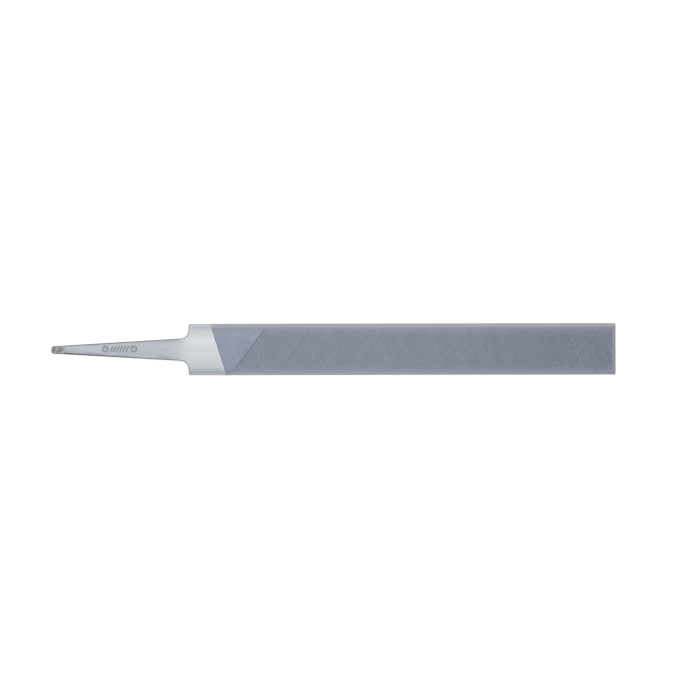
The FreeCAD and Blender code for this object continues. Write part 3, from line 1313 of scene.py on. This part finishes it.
# Hardened and blasted: painted shade in the gullets and painted highlights on the crests, a little of them
# over the single-cut teeth, lighter on the lands, and shaded towards the point.
TOOTH_STEEL = Finish(
    name="tooth_steel_finish",
    base=GULLET,
    layers=(
        # painted shade in the gullets, lightening up the backs to a painted highlight on the crests
        Layer("crest", (0.51, 0.555, 0.65), end=0.75),
        Layer("crest", (0.82, 0.86, 0.95), start=0.85),
        # a little of the crests' painted highlight over the single-cut teeth
        Layer("single", (0.82, 0.86, 0.95), most=0.2),
        Layer("land", (0.39, 0.40, 0.445), start=0.1, end=0.6),
        Layer("land", (0.47, 0.48, 0.52), start=0.9),
        Layer(Noise((0.25, 0.4, 0.4)), GULLET, *MIDDLE, most=0.22),
        Layer(STATION, (0.20, 0.22, 0.26), start=50.0, end=95.0, most=0.33),
    ),
    relief=GRAIN,
    depth=0.008,
    roughness=(0.42, 0.56),
)

# Soft steel: mottled, with streaks along it and scale left on its sides, and painted shade along its -Y
# side, by its sides at the root and in the punch marks.
TANG_STEEL = Finish(
    name="tang_steel_finish",
    base=(0.44, 0.455, 0.515),
    layers=(
        Layer(Noise((0.22, 0.6, 0.6)), (0.40, 0.435, 0.455), *MIDDLE),
        Layer(STREAK, (0.32, 0.32, 0.345), start=0.3, end=0.75, most=0.5),
        Layer("ground", SATIN),
        # forge scale, and painted shade along the -Y side and by the sides at the root
        Layer("scale", (0.15, 0.145, 0.155)),
        # painted shade in the punch marks
        Layer("stamp", (0.20, 0.19, 0.20), start=0.2, end=0.9, most=0.65),
    ),
    relief=STREAK,
    depth=0.010,
    roughness=(0.34, 0.44),
)

# The forged end: brown-grey oxide, flaked away in places to duller steel, darker in its rings, and with
# painted shade along its -Y rim.
FORGE_SCALE = Finish(
    name="forge_scale_finish",
    base=(0.23, 0.225, 0.24),
    layers=(
        Layer(FLAKE, (0.53, 0.525, 0.565), start=0.42, end=0.60),
        # darker in the rings, and painted shade on the -Y rim
        Layer("soot", (0.08, 0.075, 0.08), start=0.1, end=0.9, most=0.9),
    ),
    relief=FLAKE,
    depth=0.03,
    roughness=(0.62, 0.42),
    metal=0.75,
)

# Hardened steel inside the blade, grey and even-grained, as a fresh break shows it.
CORE_STEEL = Finish(
    name="core_steel_finish",
    base=(0.22, 0.23, 0.25),
    layers=(Layer(BREAK, (0.42, 0.43, 0.45), *MIDDLE),),
    relief=BREAK,
    depth=0.02,
    roughness=(0.5, 0.65),
)


# ---- Studio ----


@dataclass(frozen=True)
class Studio:
    """A plain white table under a broad soft light, seen from straight above with a long lens."""

    datum: Datum
    view_width: float = 163.94  # width of the picture at the upper face, in millimetres
    view_middle: tuple[float, float] = (37.757, -0.15)  # X and Y of the picture's middle
    view_roll: float = -0.115  # turn of the camera about its own axis, in degrees
    lens: float = 200.0
    sensor: float = 36.0  # width of the sensor, in millimetres
    # Nearest and furthest distance that the camera sees, in metres
    clipping: tuple[float, float] = (0.01, 10.0)
    table_half: float = 1500.0
    # The two tones of the table's mottle
    table_greys: tuple[Colour, Colour] = ((0.80, 0.80, 0.80), (0.82, 0.82, 0.82))
    table_mottle: Noise = Noise((0.01, 0.01, 0.01), octaves=2.0)  # the mottle's noise
    table_roughness: Span = (0.9, 0.95)  # roughness over the mottle
    table_glow: float = 0.6  # strength of the table's own light
    room: float = 0.55
    room_colour: Colour = (0.985, 0.99, 1.0)  # its colour. The camera sees a white room all the same
    lamp_size: float = 2.0  # side of the lamp, in metres
    lamp_height: float = 1.2  # its height, in metres
    lamp_shift: float = 0.12  # how far it stands towards +Y, in metres
    lamp_spread: float = 80.0  # angle of its beam, in degrees
    lamp_power: float = 2.9  # its power, in watts
    lamp_colour: Colour = (1.0, 0.995, 0.985)

    def table(self) -> None:
        """Lays a white, slightly glowing table top under the file."""
        out, level = self.table_half, -self.datum.half_thickness
        corners = [(-out, -out, level), (out, -out, level), (out, out, level), (-out, out, level)]
        mesh = Surface(np.array(corners), np.array([[0, 1, 2, 3]])).to_mesh("table_top")
        bench = Bench("table_top_finish", Metallic=0.0, Specular_IOR_Level=0.0)
        bench.feed(bench.shader.inputs["Emission Color"], WHITE)
        bench.feed(bench.shader.inputs["Emission Strength"], self.table_glow)
        mottle = bench.source(self.table_mottle)
        colour = bench.blend(mottle, *self.table_greys)
        mesh.materials.append(bench.finish(colour, bench.remap(mottle, 0.0, 1.0, *self.table_roughness)))
        top = bpy.data.objects.new("table_top", mesh)
        bpy.context.scene.collection.objects.link(top)

    def lights(self) -> None:
        """Sets an even room light and one broad square lamp above the file."""
        world = bpy.data.worlds.new("room_light")
        bpy.context.scene.world = world
        world.use_nodes = True
        wiring = Wiring(world.node_tree)
        glow = wiring.node("ShaderNodeBackground", {"Color": self.room_colour, "Strength": self.room})
        wall = wiring.node("ShaderNodeBackground", {"Color": WHITE})
        seen = wiring.node("ShaderNodeLightPath", {}).outputs["Is Camera Ray"]
        mix = wiring.node("ShaderNodeMixShader", {"Fac": seen, 1: glow.outputs[0], 2: wall.outputs[0]})
        wiring.feed(world.node_tree.nodes["World Output"].inputs["Surface"], mix.outputs[0])
        lamp = bpy.data.lights.new("broad_lamp", "AREA")
        lamp.shape = "SQUARE"
        lamp.size = self.lamp_size
        lamp.energy = self.lamp_power
        lamp.spread = math.radians(self.lamp_spread)
        lamp.color = self.lamp_colour
        holder = bpy.data.objects.new("broad_lamp", lamp)
        holder.location = (self.view_middle[0] * METRE, self.lamp_shift, self.lamp_height)
        holder.rotation_euler = (-math.atan(self.lamp_shift / self.lamp_height), 0.0, 0.0)
        bpy.context.scene.collection.objects.link(holder)

    def camera(self) -> None:
        """Hangs the camera over the file, with the upper face exactly as wide as the picture asks."""
        data = bpy.data.cameras.new("overhead_camera")
        data.lens = self.lens
        data.sensor_width = self.sensor
        data.clip_start, data.clip_end = self.clipping
        camera = bpy.data.objects.new("overhead_camera", data)
        distance = self.view_width * self.lens / self.sensor + self.datum.half_thickness
        camera.location = [value * METRE for value in (*self.view_middle, distance)]
        camera.rotation_euler = (0.0, 0.0, math.radians(self.view_roll))
        bpy.context.scene.collection.objects.link(camera)
        bpy.context.scene.camera = camera
        bpy.context.scene.view_settings.view_transform = "Standard"


# ---- Assembly ----


@dataclass(frozen=True)
class HandFile:
    """The whole file, zone by zone."""

    form: BladeForm
    # The run of chisel lines that starts at the heel
    first: Cut = Cut(pitch=0.31, slant=0.3172, start=6.84, seed=1)
    second: Cut = Cut(pitch=0.38, slant=0.754, start=14.06, seed=2)  # the run that crosses it

    def build(self) -> None:
        """Builds and dresses every zone, from the blade back to the tang's end, and dresses the core."""
        ground = GROUND_STEEL.material()
        self.blade(TOOTH_STEEL.material(), ground)
        tang = Tang(self.form, StampMarks())
        heel = Heel(self.form, self.first)
        stand_for(heel.build("heel_block", tang.slope), ground, "heel")
        stand_for(tang.build("tang_spike"), TANG_STEEL.material(), "tang")
        stub = Stub(self.form, tang)
        stand_for(stub.build("tang_end"), FORGE_SCALE.material(), "tang_stub")
        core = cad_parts["blade_core"]
        core.data.materials.clear()
        core.data.materials.append(CORE_STEEL.material())
        log.info("blade_core: kept as packed, with its own finish")

    def blade(self, teeth: bpy.types.Material, ground: bpy.types.Material) -> None:
        """Builds the toothed faces, the two narrow edges and the point.

        Args:
            teeth: Finish of what is cut.
            ground: Finish of what isn't.
        """
        form, datum = self.form, self.form.datum
        cut_face = CutFace(form, self.first, self.second)
        stand_for(cut_face.build("upper_teeth", Face.UPPER), teeth, "upper_cut_face")
        stand_for(cut_face.build("lower_teeth", Face.LOWER), teeth, "lower_cut_face")
        nicks = Cut(pitch=0.40, slant=0.2, start=datum.heel_end, depth=0.12, rise=0.0, seed=3)
        toothed = BladeEdge(form, -1, datum.flat_low, nicks)
        smooth = BladeEdge(form, 1, datum.flat_high)
        stand_for(toothed.build("toothed_edge"), teeth, "cut_edge")
        stand_for(smooth.build("smooth_edge"), ground, "safe_edge")
        stand_for(PointLand(form).build("point_end"), ground, "point_land")


def main() -> None:
    """Builds the studio and the file, in that order."""
    logging.basicConfig(level=logging.INFO, format="%(name)s: %(message)s")
    datum = Datum.from_frame()
    studio = Studio(datum)
    studio.camera()
    studio.lights()
    studio.table()
    HandFile(BladeForm(datum)).build()


if __name__ == "__main__":
    main()
